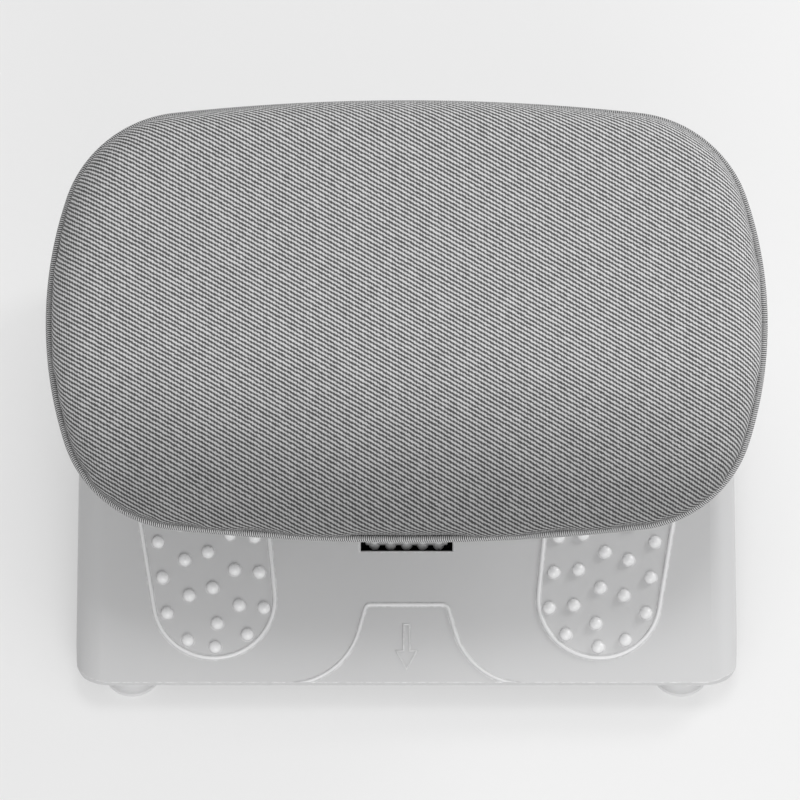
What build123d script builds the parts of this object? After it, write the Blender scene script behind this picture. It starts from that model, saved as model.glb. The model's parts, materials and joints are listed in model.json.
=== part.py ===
from build123d import *
import os
from math import asin, ceil, cos, degrees, hypot, pi, radians, sin, sqrt, tan

# Ergonomic footrest: a wedge base with moulded massage soles and a massage roller,
# a telescopic pedestal that a hand knob clamps, and an upholstered pad on a friction hinge.
# Millimetres, +Z up, front (user side) towards -Y, origin on the floor under the base centre.

# Wedge base
BASE_WIDTH = 400.0
BASE_DEPTH = 300.0
FOOT_HEIGHT = 14.0
FRONT_HEIGHT = 8.0
FRONT_LIP = 3.5
UNDERCUT_DEPTH = 7.0
TOP_SLOPE = 12.0
SIDE_ROUND = 16.0
REAR_ROUND = 22.0
FRONT_CORNER = 21.0
WALL = 3.0
PLATE_THICKNESS = 3.0

# Clearances
FIT = 0.15
SLIDE_FIT = 0.1
RUN_FIT = 0.05

# Massage soles moulded on the sloped top, one each side
HEEL_X = 116.3
HEEL_SETBACK = 52.0
HEEL_RADIUS = 36.7
TOE_RADIUS = 41.7
SOLE_LENGTH = 150.0
SOLE_SPLAY = 7.6
SOLE_RIB_RADIUS = 1.4
NUB_RADIUS = 4.1
NUB_SINK = 0.6
NUB_COLUMN_PITCH = 14.6
NUB_ROW_PITCH = 22.5
NUB_STAGGER = (-4.9, 4.3, 7.2, -5.8, -9.4)
NUB_MARGIN = 5.8
HEEL_NUB_RADIUS = 30.0
HEEL_NUB_ANGLES = (-39.0, -6.0, 35.0)

# Raised rib that frames the front of the top
TAB_DEPTH = 48.6
TAB_HALF_TOP = 24.5
TAB_HALF_FOOT = 38.0
TAB_RUN_OFF = 1.2
TAB_CORNER = 3.7
TAB_FLARE = 45.0
TAB_RIB_RADIUS = 1.2

# Roller window, cradle and massage roller
WINDOW_SETBACK = 82.6
WINDOW_WIDTH = 55.7
WINDOW_DEPTH = 30.0
WINDOW_CHAMFER = 1.0
ROLLER_SINK = 8.5
ROLLER_RADIUS = 9.0
ROLLER_LENGTH = 50.0
ROLLER_ROUND = 1.0
ROLLER_NUB_RADIUS = 3.5
ROLLER_NUB_CENTRE = 8.5
ROLLER_NUB_PITCH = 9.75
ROLLER_NUB_COUNT = 5
ROLLER_NUB_ROWS = 7
AXLE_RADIUS = 2.0
BUSH_RADIUS = 4.0
BUSH_LENGTH = 10.0
BUSH_FLANGE_RADIUS = 5.5
BUSH_FLANGE = 1.2
CRADLE_WALL = 2.0
CRADLE_END = 2.5
CRADLE_FLOOR_HALF = 7.0
CRADLE_SHOULDER = 9.5
ROLLER_CLEARANCE = 0.8
EAR_LENGTH = 7.5
EAR_WIDTH = 8.0
EAR_SPREAD = 9.0
EAR_THICKNESS = 2.0
EAR_BOSS_HEIGHT = 4.0
EAR_BOSS_RADIUS = 3.4

# Feet
FOOT_RADIUS = 17.5
FOOT_NECK_RADIUS = 9.0
FOOT_RIM = 3.0
FOOT_FLARE = 9.0
FOOT_BOW = 1.1
FOOT_INSET = 34.0
FOOT_SETBACK = 18.6
FOOT_BORE_DEPTH = 7.0
FOOT_BORE_RADIUS = 5.0

# Pedestal
COLUMN_Y = 30.0
POST_WIDTH = 48.0
POST_DEPTH = 30.0
POST_CORNER = 8.0
POST_WALL = 2.5
POST_FOOT = 30.0
GUIDE_WALL = 4.0
SLEEVE_WALL = 3.0
STOP_GAP = 0.3
SLEEVE_FLANGE_MARGIN = 11.0
SLEEVE_FLANGE = 4.0
GUIDE_HEIGHT = 10.0
GUIDE_FLANGE = 2.0
SHOE_FLOOR = 2.0
SHOE_HEIGHT = 12.0
COLLAR_MARGIN = 8.0
COLLAR_HEIGHT = 3.5
COLLAR_ROUND = 1.5

# Height clamp
CLAMP_Z = 96.0
CLAMP_BOSS_RADIUS = 9.0
CLAMP_BOSS_LENGTH = 8.0
CLAMP_NUT_RADIUS = 6.0
STUD_RADIUS = 4.0
STUD_TIP_RADIUS = 2.5
STUD_TIP = 1.2
STUD_GRIP = 13.0
CLAMP_PAD_WIDTH = 16.0
CLAMP_PAD_HEIGHT = 10.0
CLAMP_PAD_THICKNESS = 2.5
CLAMP_PAD_CORNER = 2.0
CLAMP_GAP = 0.1
KNOB_RADIUS = 18.0
KNOB_THICKNESS = 15.0
KNOB_LOBES = 6
KNOB_SCALLOP = 5.0
KNOB_SCALLOP_CENTRE = 20.5
KNOB_HUB_RADIUS = 8.5
KNOB_HUB = 4.0
KNOB_STANDOFF = 0.5
KNOB_ROUND = 2.0

# Friction hinge
PIN_Z = 133.0
PIN_RADIUS = 4.0
LUG_RADIUS = 9.0
YOKE_PLATE = 4.0
YOKE_GAP = 36.0
YOKE_LUG = 5.0
YOKE_PLUG = 10.0
YOKE_BASE_GAP = 1.5
WASHER = 1.4
WASHER_RADIUS = 8.0
PLAY = 0.1
BRACKET_LUG = 4.0
BRACKET_PLATE = 3.0
BRACKET_WIDTH = 90.0
BRACKET_DEPTH = 70.0
BRACKET_CORNER = 10.0
SPACER_RADIUS = 6.5
PIN_HEAD_RADIUS = 7.0
PIN_HEAD = 4.5
PIN_HEAD_ROUND = 1.5
PIN_NUT_RADIUS = 7.5
PIN_NUT = 6.5
PIN_TAIL = 1.5

# Upholstered pad, measured square to its own plane from the piping
PAD_TILT = 18.0
PIPING_RISE = 34.6
PAD_WIDTH = 430.0
PAD_DEPTH = 269.0
FRONT_BOW = 1260.0
SIDE_BOW = 243.0
PAD_CORNER = 76.0
PIPING_RADIUS = 2.2
TAPE_THICKNESS = 1.0
PAN_INSET = 4.6
PAN_WALL = 2.5
PAN_DEPTH = 10.5
PAN_ROUND = 7.0
BOARD_THICKNESS = 9.0
CUSHION_FOOT_INSET = 5.0
CUSHION_INSET = 2.4
CUSHION_FLARE = 5.5
CUSHION_EDGE_HEIGHT = 25.0
CUSHION_CROWN = 8.0
FALL_START = 10.0
FRONT_FALL = 12.0
CUSHION_ROUND = 16.0
COVER_THICKNESS = 1.5

# Screws: head radius, head height and shank radius of each kind
HEAD_ROUND = 0.45
CASE_SCREW = (3.6, 2.2, 1.7)
CASE_SCREW_LENGTH = 11.0
CASE_BOSS_RADIUS = 4.5
CASE_SCREW_INSET = 50.0
CASE_SCREW_Y = (-85.0, 20.0, 112.0)
FOOT_SCREW_LENGTH = 13.5
EAR_SCREW = (2.7, 1.6, 1.3)
EAR_SCREW_LENGTH = 7.0
COLUMN_SCREW = (4.8, 3.0, 2.5)
COLUMN_SCREW_LENGTH = 6.6
SET_SCREW_RADIUS = 2.0
SET_SCREW_LENGTH = 8.0
SET_SCREW_RECESS = 0.3
PAN_SCREW_LENGTH = 9.0
PAN_SCREW_X = (-150.0, -75.0, 75.0, 150.0)
PAN_SCREW_Y = 88.0
BRACKET_SCREW_LENGTH = 12.0
BRACKET_SCREW_INSET = 10.0

# Places worked out from the sizes above
FRONT_Y = -BASE_DEPTH / 2
REAR_Y = BASE_DEPTH / 2
PLATE_TOP = FOOT_HEIGHT + PLATE_THICKNESS
FRONT_TOP = FOOT_HEIGHT + FRONT_HEIGHT
BLANK = 100.0
ROLLER_SETBACK = WINDOW_SETBACK + WINDOW_DEPTH / 2
FLOOR_DROP = ROLLER_SINK + ROLLER_NUB_CENTRE + ROLLER_NUB_RADIUS + ROLLER_CLEARANCE
CRADLE_HALF = WINDOW_WIDTH / 2 + RUN_FIT
SLEEVE_BORE_WIDTH = POST_WIDTH + 2 * GUIDE_WALL
SLEEVE_BORE_DEPTH = POST_DEPTH + 2 * GUIDE_WALL
SLEEVE_WIDTH = SLEEVE_BORE_WIDTH + 2 * SLEEVE_WALL
SLEEVE_DEPTH = SLEEVE_BORE_DEPTH + 2 * SLEEVE_WALL
SLEEVE_CORNER = POST_CORNER + GUIDE_WALL + SLEEVE_WALL
YOKE_FLOOR = PIN_Z - LUG_RADIUS - YOKE_BASE_GAP
POST_TOP = YOKE_FLOOR - YOKE_PLATE
SLEEVE_TOP = POST_TOP - STOP_GAP - GUIDE_FLANGE
BRACKET_FACE = YOKE_GAP / 2 - WASHER - 2 * PLAY
PAN_TOP = PIPING_RISE - TAPE_THICKNESS / 2
PAN_BOTTOM = PAN_TOP - PAN_DEPTH
BOARD_TOP = PIPING_RISE + TAPE_THICKNESS / 2
PAN_FLOOR = BOARD_TOP - BOARD_THICKNESS
BRACKET_TOP = PAN_BOTTOM
BRACKET_BOTTOM = BRACKET_TOP - BRACKET_PLATE
TAPE_INSET = PAN_INSET + PAN_WALL

# Working frames: the sloped top (x across, y up the slope) and the pad's own plane
SLOPE = Plane(origin=(0, FRONT_Y, FRONT_TOP), x_dir=(1, 0, 0),
              z_dir=(0, -sin(radians(TOP_SLOPE)), cos(radians(TOP_SLOPE)))).location
PAD = Plane(origin=(0, COLUMN_Y, PIN_Z), x_dir=(1, 0, 0),
            z_dir=(0, -sin(radians(PAD_TILT)), cos(radians(PAD_TILT)))).location
ALONG_X = Rot(0, 90, 0)
ALONG_Y = Rot(-90, 0, 0)


def rounded_bar(width, depth, corner, bottom, top):
    """Upright bar with rounded corners on the pedestal's axis."""
    bar = extrude(RectangleRounded(width, depth, corner), top - bottom)
    return Pos(0, COLUMN_Y, bottom) * bar


def rod(radius, length):
    """Rod that starts at the origin and runs up +Z."""
    return Cylinder(radius, length, align=(Align.CENTER, Align.CENTER, Align.MIN))


def half_ball(radius):
    """Dome that stands on the origin with its flat side down."""
    return Sphere(radius, arc_size1=0, align=(Align.CENTER, Align.CENTER, Align.MIN))


def cross_rod(radius, start, end):
    """Rod along X from start to end."""
    return Pos(start, 0, 0) * ALONG_X * rod(radius, end - start)


def screw(kind, length):
    """Pan-head screw whose head rests under the origin and whose shank runs up +Z."""
    head_radius, head_height, shank_radius = kind
    head = Pos(0, 0, -head_height) * rod(head_radius, head_height)
    top_edge = head.edges().sort_by(Axis.Z)[0]
    return fillet(top_edge, head_height * HEAD_ROUND) + rod(shank_radius, length)


def group(pieces):
    """Separate solids kept in one node."""
    return Compound(children=list(pieces))


def mirrored_pair(shape):
    """A shape and its mirror image across the middle of the footrest."""
    return [shape, mirror(shape, Plane.YZ)]


def wedge_blank(inset):
    """Oversize wedge with a rounded rear and rounded sides, moved inwards by inset."""
    half_width = BASE_WIDTH / 2 - inset
    rear = REAR_Y - inset
    front = FRONT_Y - BLANK
    drop = inset / cos(radians(TOP_SLOPE))
    front_z = FRONT_TOP - BLANK * tan(radians(TOP_SLOPE)) - drop
    rear_z = FRONT_TOP + (rear - FRONT_Y) * tan(radians(TOP_SLOPE)) - drop
    outline = Polyline((front, -BLANK), (rear, -BLANK), (rear, rear_z), (front, front_z), close=True)
    profile = make_face(outline)
    crest = profile.vertices().sort_by(Axis.Y)[-1]
    profile = fillet(crest, REAR_ROUND - inset)
    blank = extrude(Plane.YZ * profile, half_width, both=True)
    sides = [e for e in blank.edges()
             if abs(abs(e.center().X) - half_width) < 0.01
             and e.center().Y > front + 1 and e.center().Z > 1 - BLANK]
    return fillet(sides, SIDE_ROUND - inset)


def front_cornered_plan(half_width, front, corner, bottom, height):
    """Upright prism with two rounded front corners, open to the rear."""
    depth = BASE_DEPTH + BLANK
    plan = Pos(0, front + depth / 2) * Rectangle(2 * half_width, depth)
    corners = plan.vertices().sort_by(Axis.Y)[:2]
    return Pos(0, 0, bottom) * extrude(fillet(corners, corner), height)


def wedge_outside():
    """Outer form of the base: wedge, rounded front corners and the undercut below the lip."""
    plan = front_cornered_plan(BASE_WIDTH / 2, FRONT_Y, FRONT_CORNER, FOOT_HEIGHT, 2 * BLANK)
    lip_z = FRONT_TOP - FRONT_LIP
    undercut = make_face(Polyline((FRONT_Y, lip_z), (FRONT_Y + UNDERCUT_DEPTH, FOOT_HEIGHT),
                                  (FRONT_Y + UNDERCUT_DEPTH, 0), (FRONT_Y - WALL, 0),
                                  (FRONT_Y - WALL, lip_z), close=True))
    return (wedge_blank(0) & plan) - extrude(Plane.YZ * undercut, BASE_WIDTH, both=True)


def wedge_inside(gap):
    """Hollow under the top wall, open below, drawn in by a gap for what fits inside it."""
    plan = front_cornered_plan(BASE_WIDTH / 2 - WALL - gap, FRONT_Y + UNDERCUT_DEPTH + WALL + gap,
                               FRONT_CORNER - WALL - gap, 0, 2 * BLANK)
    return wedge_blank(WALL + gap) & plan


def sole_outline():
    """Closed wire round one massage sole: heel and toe circles joined by tangents."""
    lean = (TOE_RADIUS - HEEL_RADIUS) / SOLE_LENGTH
    reach = sqrt(1 - lean * lean)
    heel_side = (HEEL_RADIUS * reach, -HEEL_RADIUS * lean)
    toe_side = (TOE_RADIUS * reach, SOLE_LENGTH - TOE_RADIUS * lean)
    heel = ThreePointArc((-heel_side[0], heel_side[1]), (0, -HEEL_RADIUS), heel_side)
    toe = ThreePointArc(toe_side, (0, SOLE_LENGTH + TOE_RADIUS), (-toe_side[0], toe_side[1]))
    sides = [Line(heel_side, toe_side), Line((-toe_side[0], toe_side[1]), (-heel_side[0], heel_side[1]))]
    return Wire([heel, sides[0], toe, sides[1]])


def bead_along(path, radius):
    """Round bead that follows a path."""
    section = Plane(origin=path @ 0, z_dir=path % 0) * Circle(radius)
    return sweep(section, path)


def inside_sole(across, along):
    """True where a nub stands clear of the rib round the sole."""
    share = min(max(along / SOLE_LENGTH, 0), 1)
    room = HEEL_RADIUS + (TOE_RADIUS - HEEL_RADIUS) * share - NUB_MARGIN
    return hypot(across, along - share * SOLE_LENGTH) < room


def nub_places():
    """Places of the nubs on one sole: staggered columns and a curved row round the heel."""
    places = []
    for angle in HEEL_NUB_ANGLES:
        places.append((HEEL_NUB_RADIUS * sin(radians(angle)), -HEEL_NUB_RADIUS * cos(radians(angle))))
    middle = (len(NUB_STAGGER) - 1) / 2
    row_count = ceil((SOLE_LENGTH + TOE_RADIUS) / NUB_ROW_PITCH) + 1
    for column, stagger in enumerate(NUB_STAGGER):
        across = (column - middle) * NUB_COLUMN_PITCH
        lowest = -1 if column == middle else 0
        for row in range(lowest, row_count):
            along = stagger + row * NUB_ROW_PITCH
            if inside_sole(across, along):
                places.append((across, along))
    return places


def massage_sole():
    """Rib and nubs of the left sole, on the sloped top."""
    dome = half_ball(NUB_RADIUS)
    pieces = [bead_along(sole_outline(), SOLE_RIB_RADIUS)]
    pieces += [Pos(across, along, -NUB_SINK) * dome for across, along in nub_places()]
    place = SLOPE * Pos(-HEEL_X, HEEL_SETBACK, 0) * Rot(0, 0, SOLE_SPLAY)
    return [place * piece for piece in pieces]


def front_tab_rib():
    """Raised rib that rises from the front edge and frames the middle of the front."""
    run_out = TAB_HALF_FOOT + TAB_FLARE
    half = [(TAB_HALF_TOP, TAB_DEPTH), (TAB_HALF_FOOT, -TAB_RUN_OFF), (run_out, -TAB_RUN_OFF)]
    points = [(-x, y) for x, y in reversed(half)] + half
    path = FilletPolyline(*points, radius=[TAB_FLARE, TAB_CORNER, TAB_CORNER, TAB_FLARE])
    return SLOPE * bead_along(path, TAB_RIB_RADIUS)


def case_screw_places():
    """Plan places of the screws that hold the bottom plate to the shell."""
    x = BASE_WIDTH / 2 - CASE_SCREW_INSET
    return [(side * x, y) for y in CASE_SCREW_Y for side in (-1, 1)]


def foot_places():
    """Plan places of the four feet by name."""
    side = BASE_WIDTH / 2 - FOOT_INSET
    front = FRONT_Y + FOOT_SETBACK
    rear = REAR_Y - FOOT_SETBACK
    return {"front_left_foot": (-side, front), "front_right_foot": (side, front),
            "rear_left_foot": (-side, rear), "rear_right_foot": (side, rear)}


def column_screw_places():
    """Plan places of the screws through the flange of the sleeve."""
    x = (SLEEVE_WIDTH + SLEEVE_FLANGE_MARGIN) / 2
    y = (SLEEVE_DEPTH + SLEEVE_FLANGE_MARGIN) / 2
    return [(sx * x, COLUMN_Y + sy * y) for sx in (-1, 1) for sy in (-1, 1)]


def ear_places():
    """Places of the cradle's screws on the slope."""
    x = CRADLE_HALF + CRADLE_END + EAR_LENGTH / 2
    return [(sx * x, ROLLER_SETBACK + sy * EAR_SPREAD) for sx in (-1, 1) for sy in (-1, 1)]


def sleeve_passage():
    """Way for the sleeve up through the top of the base."""
    return rounded_bar(SLEEVE_WIDTH + 2 * FIT, SLEEVE_DEPTH + 2 * FIT, SLEEVE_CORNER + FIT, 0, 2 * BLANK)


def window_cut():
    """Hole for the roller with a chamfer at its upper edge."""
    hole = extrude(Rectangle(WINDOW_WIDTH, WINDOW_DEPTH), 4 * WALL, both=True)
    mouth = Rectangle(WINDOW_WIDTH + 4 * WINDOW_CHAMFER, WINDOW_DEPTH + 4 * WINDOW_CHAMFER)
    chamfer_cut = loft([Pos(0, 0, -WINDOW_CHAMFER) * Rectangle(WINDOW_WIDTH, WINDOW_DEPTH),
                        Pos(0, 0, WINDOW_CHAMFER) * mouth])
    return SLOPE * Pos(0, ROLLER_SETBACK, 0) * (hole + chamfer_cut)


def base_shell():
    """Moulded wedge with its massage soles, rib, roller window and screw bosses."""
    outside = wedge_outside()
    raised = [front_tab_rib()]
    for piece in massage_sole():
        raised += mirrored_pair(piece)
    plan = front_cornered_plan(BASE_WIDTH / 2, FRONT_Y, FRONT_CORNER, FOOT_HEIGHT, 2 * BLANK)
    raised[0] = raised[0] & plan
    bosses = []
    holes = []
    for x, y in case_screw_places():
        bosses.append(Pos(x, y, PLATE_TOP) * rod(CASE_BOSS_RADIUS, 2 * BLANK))
        holes.append(Pos(x, y, FOOT_HEIGHT) * rod(CASE_SCREW[2] + RUN_FIT, CASE_SCREW_LENGTH + FIT))
    for x, y in foot_places().values():
        bosses.append(Pos(x, y, PLATE_TOP) * rod(CASE_BOSS_RADIUS, 2 * BLANK))
        depth = FOOT_BORE_DEPTH + FOOT_SCREW_LENGTH + FIT
        holes.append(Pos(x, y, 0) * rod(CASE_SCREW[2] + RUN_FIT, depth))
    for x, y in ear_places():
        seat = SLOPE * Pos(x, y, -WALL - EAR_BOSS_HEIGHT)
        bosses.append(seat * rod(EAR_BOSS_RADIUS, EAR_BOSS_HEIGHT + WALL))
        holes.append(seat * rod(EAR_SCREW[2] + RUN_FIT, EAR_SCREW_LENGTH - EAR_THICKNESS + FIT))
    hollow = wedge_inside(0) - bosses
    return (outside + raised) - ([hollow, window_cut(), sleeve_passage()] + holes)


def bottom_plate():
    """Flat plate that closes the shell and carries the feet and the pedestal."""
    slab = Pos(0, 0, FOOT_HEIGHT) * Box(2 * BASE_WIDTH, 2 * BASE_DEPTH, PLATE_THICKNESS,
                                        align=(Align.CENTER, Align.CENTER, Align.MIN))
    holes = []
    for x, y in case_screw_places() + list(foot_places().values()):
        holes.append(Pos(x, y, 0) * rod(CASE_SCREW[2] + FIT, BLANK))
    for x, y in column_screw_places():
        holes.append(Pos(x, y, 0) * rod(COLUMN_SCREW[2] + FIT, BLANK))
    return (wedge_inside(FIT) & slab) - holes


def rubber_foot():
    """Flared foot with a neck under the plate and a recess for its screw."""
    rim = FOOT_RIM / 2
    outline = [Line((0, 0), (FOOT_RADIUS - rim, 0)),
               ThreePointArc((FOOT_RADIUS - rim, 0), (FOOT_RADIUS, rim), (FOOT_RADIUS - rim, FOOT_RIM))]
    start = (FOOT_RADIUS - rim, FOOT_RIM)
    neck = (FOOT_NECK_RADIUS, FOOT_RIM + FOOT_FLARE)
    bow = ((start[0] + neck[0]) / 2 - FOOT_BOW, (start[1] + neck[1]) / 2 - FOOT_BOW)
    outline.append(ThreePointArc(start, bow, neck))
    outline.append(Line(neck, (FOOT_NECK_RADIUS, FOOT_HEIGHT)))
    outline.append(Line((FOOT_NECK_RADIUS, FOOT_HEIGHT), (0, FOOT_HEIGHT)))
    outline.append(Line((0, FOOT_HEIGHT), (0, 0)))
    foot = revolve(Plane.XZ * make_face(outline), Axis.Z)
    bore = rod(CASE_SCREW[2] + FIT, FOOT_HEIGHT)
    return foot - [bore, rod(FOOT_BORE_RADIUS, FOOT_BORE_DEPTH)]


def roller_cradle():
    """Tub under the window: sloping walls, end walls that hold the axle, and four ears."""
    half_top = WINDOW_DEPTH / 2 + RUN_FIT
    outer_length = 2 * (CRADLE_HALF + CRADLE_END)

    def tub_profile(grow):
        points = [(half_top + grow, -WALL), (half_top + grow, -CRADLE_SHOULDER),
                  (CRADLE_FLOOR_HALF + grow / 2, -FLOOR_DROP - grow)]
        points += [(-y, z) for y, z in reversed(points)]
        return Plane.YZ * make_face(Polyline(*points, close=True))

    tub = extrude(tub_profile(CRADLE_WALL), outer_length / 2, both=True)
    hollow = extrude(tub_profile(0), CRADLE_HALF, both=True)
    ears = []
    ear_z = -WALL - EAR_BOSS_HEIGHT - EAR_THICKNESS
    for x, y in ear_places():
        tab = Pos(x, y - ROLLER_SETBACK, ear_z) * Box(EAR_LENGTH, EAR_WIDTH, EAR_THICKNESS,
                                                      align=(Align.CENTER, Align.CENTER, Align.MIN))
        hole = Pos(x, y - ROLLER_SETBACK, ear_z) * rod(EAR_SCREW[2] + FIT, EAR_THICKNESS)
        ears.append(tab - hole)
    axle_bore = Pos(0, 0, -ROLLER_SINK) * cross_rod(AXLE_RADIUS + RUN_FIT, -outer_length, outer_length)
    return SLOPE * Pos(0, ROLLER_SETBACK, 0) * ((tub - hollow) + ears - axle_bore)


def on_roller_axis(shape):
    """Place a shape made about the X axis on the roller's own axis."""
    return SLOPE * Pos(0, ROLLER_SETBACK, -ROLLER_SINK) * shape


def roller_axle():
    """Steel axle held in the end walls of the cradle."""
    reach = CRADLE_HALF + CRADLE_END
    return on_roller_axis(cross_rod(AXLE_RADIUS, -reach, reach))


def massage_roller():
    """Turned roller with rings of domed nubs and a bore for its bushes."""
    core = cross_rod(ROLLER_RADIUS, -ROLLER_LENGTH / 2, ROLLER_LENGTH / 2)
    core = fillet(core.edges().filter_by(GeomType.CIRCLE), ROLLER_ROUND)
    nubs = []
    for row in range(ROLLER_NUB_ROWS):
        angle = 2 * pi * row / ROLLER_NUB_ROWS
        for column in range(ROLLER_NUB_COUNT):
            x = (column - (ROLLER_NUB_COUNT - 1) / 2) * ROLLER_NUB_PITCH
            place = Pos(x, ROLLER_NUB_CENTRE * sin(angle), ROLLER_NUB_CENTRE * cos(angle))
            nubs.append(place * Rot(-degrees(angle), 0, 0) * half_ball(ROLLER_NUB_RADIUS))
    bore = cross_rod(BUSH_RADIUS + RUN_FIT, -ROLLER_LENGTH, ROLLER_LENGTH)
    return on_roller_axis((core + nubs) - bore)


def roller_bushes():
    """Flanged bushes in the two ends of the roller."""
    end = ROLLER_LENGTH / 2
    bush = cross_rod(BUSH_RADIUS, end - BUSH_LENGTH, end)
    bush += cross_rod(BUSH_FLANGE_RADIUS, end, end + BUSH_FLANGE)
    bush -= cross_rod(AXLE_RADIUS + RUN_FIT, 0, ROLLER_LENGTH)
    return group(on_roller_axis(piece) for piece in mirrored_pair(bush))


def cradle_screws():
    """Screws up through the cradle's ears into the shell."""
    ear_bottom = -WALL - EAR_BOSS_HEIGHT - EAR_THICKNESS
    return group(SLOPE * Pos(x, y, ear_bottom) * screw(EAR_SCREW, EAR_SCREW_LENGTH) for x, y in ear_places())


def column_sleeve():
    """Outer tube of the pedestal with its flange and the boss for the clamp."""
    tube = rounded_bar(SLEEVE_WIDTH, SLEEVE_DEPTH, SLEEVE_CORNER, PLATE_TOP, SLEEVE_TOP)
    flange = rounded_bar(SLEEVE_WIDTH + 2 * SLEEVE_FLANGE_MARGIN, SLEEVE_DEPTH + 2 * SLEEVE_FLANGE_MARGIN,
                         SLEEVE_FLANGE_MARGIN, PLATE_TOP, PLATE_TOP + SLEEVE_FLANGE)
    rear_face = COLUMN_Y + SLEEVE_BORE_DEPTH / 2
    boss = Pos(0, rear_face, CLAMP_Z) * ALONG_Y * rod(CLAMP_BOSS_RADIUS, SLEEVE_WALL + CLAMP_BOSS_LENGTH)
    bore = rounded_bar(SLEEVE_BORE_WIDTH, SLEEVE_BORE_DEPTH, POST_CORNER + GUIDE_WALL, 0, SLEEVE_TOP + BLANK)
    nut_seat = Pos(0, rear_face - WALL, CLAMP_Z) * ALONG_Y * rod(CLAMP_NUT_RADIUS, BLANK)
    holes = [Pos(x, y, 0) * rod(COLUMN_SCREW[2] + RUN_FIT, BLANK) for x, y in column_screw_places()]
    return (tube + [flange, boss]) - ([bore, nut_seat] + holes)


def column_collar():
    """Trim ring on the sloped top round the sleeve."""
    width = SLEEVE_WIDTH + 2 * COLLAR_MARGIN
    depth = SLEEVE_DEPTH + 2 * COLLAR_MARGIN
    bar = rounded_bar(width, depth, SLEEVE_CORNER + COLLAR_MARGIN, 0, 2 * BLANK)
    layer = SLOPE * Box(BASE_WIDTH, 3 * BASE_DEPTH, COLLAR_HEIGHT,
                        align=(Align.CENTER, Align.CENTER, Align.MIN))
    ring = bar & layer
    upper = ring.faces().sort_by(Axis.Z)[-1]
    return fillet(upper.edges(), COLLAR_ROUND) - sleeve_passage()


def upper_guide():
    """Plastic guide in the mouth of the sleeve, in which the post slides."""
    body = rounded_bar(SLEEVE_BORE_WIDTH - 2 * RUN_FIT, SLEEVE_BORE_DEPTH - 2 * RUN_FIT,
                       POST_CORNER + GUIDE_WALL - RUN_FIT, SLEEVE_TOP - GUIDE_HEIGHT, SLEEVE_TOP)
    cap = rounded_bar(SLEEVE_WIDTH, SLEEVE_DEPTH, SLEEVE_CORNER, SLEEVE_TOP, SLEEVE_TOP + GUIDE_FLANGE)
    bore = rounded_bar(POST_WIDTH + 2 * SLIDE_FIT, POST_DEPTH + 2 * SLIDE_FIT, POST_CORNER + SLIDE_FIT,
                       0, SLEEVE_TOP + BLANK)
    return (body + cap) - bore


def lift_post():
    """Inner tube of the pedestal."""
    outside = rounded_bar(POST_WIDTH, POST_DEPTH, POST_CORNER, POST_FOOT, POST_TOP)
    inside = rounded_bar(POST_WIDTH - 2 * POST_WALL, POST_DEPTH - 2 * POST_WALL, POST_CORNER - POST_WALL,
                         0, POST_TOP + BLANK)
    return outside - [inside, set_screw_bores(RUN_FIT)]


def lower_guide():
    """Plastic shoe on the foot of the post, which slides in the sleeve."""
    body = rounded_bar(SLEEVE_BORE_WIDTH - 2 * SLIDE_FIT, SLEEVE_BORE_DEPTH - 2 * SLIDE_FIT,
                       POST_CORNER + GUIDE_WALL - SLIDE_FIT, POST_FOOT - SHOE_FLOOR, POST_FOOT + SHOE_HEIGHT)
    socket = rounded_bar(POST_WIDTH + 2 * RUN_FIT, POST_DEPTH + 2 * RUN_FIT, POST_CORNER + RUN_FIT,
                         POST_FOOT, BLANK)
    return body - socket


def set_screw_bores(gap):
    """The two cross bores, or with no gap the screws, that hold the yoke in the post."""
    start = POST_WIDTH / 2 - SET_SCREW_RECESS - SET_SCREW_LENGTH
    length = SET_SCREW_LENGTH + (SET_SCREW_RECESS if gap else 0)
    bore = Pos(start - gap, COLUMN_Y, POST_TOP - YOKE_PLUG / 2) * ALONG_X * rod(SET_SCREW_RADIUS + gap,
                                                                                 length + 2 * gap)
    return group(mirrored_pair(bore))


def clamp_axis(start):
    """Place on the clamp's axis, start millimetres behind the rear face of the post."""
    return Pos(0, COLUMN_Y + POST_DEPTH / 2 + start, CLAMP_Z) * ALONG_Y


def clamp_nut():
    """Threaded insert in the boss of the sleeve."""
    start = GUIDE_WALL
    body = clamp_axis(start) * rod(CLAMP_NUT_RADIUS - RUN_FIT, SLEEVE_WALL + CLAMP_BOSS_LENGTH)
    return body - clamp_axis(0) * rod(STUD_RADIUS + RUN_FIT, BLANK)


def clamp_pad():
    """Pressure pad between the stud's tip and the post."""
    outline = RectangleRounded(CLAMP_PAD_WIDTH, CLAMP_PAD_HEIGHT, CLAMP_PAD_CORNER)
    plate = extrude(outline, CLAMP_PAD_THICKNESS)
    socket = Pos(0, 0, CLAMP_PAD_THICKNESS - STUD_TIP) * rod(STUD_TIP_RADIUS + RUN_FIT, STUD_TIP)
    return clamp_axis(CLAMP_GAP) * (plate - socket)


def knob_start():
    """Distance of the knob's hub behind the post."""
    return GUIDE_WALL + SLEEVE_WALL + CLAMP_BOSS_LENGTH + KNOB_STANDOFF


def clamp_stud():
    """Stud that carries the knob and presses the pad."""
    tip_start = CLAMP_GAP + CLAMP_PAD_THICKNESS - STUD_TIP + RUN_FIT
    shank_start = CLAMP_GAP + CLAMP_PAD_THICKNESS + RUN_FIT
    end = knob_start() + STUD_GRIP
    tip = clamp_axis(tip_start) * rod(STUD_TIP_RADIUS, shank_start - tip_start)
    return tip + clamp_axis(shank_start) * rod(STUD_RADIUS, end - shank_start)


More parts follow.
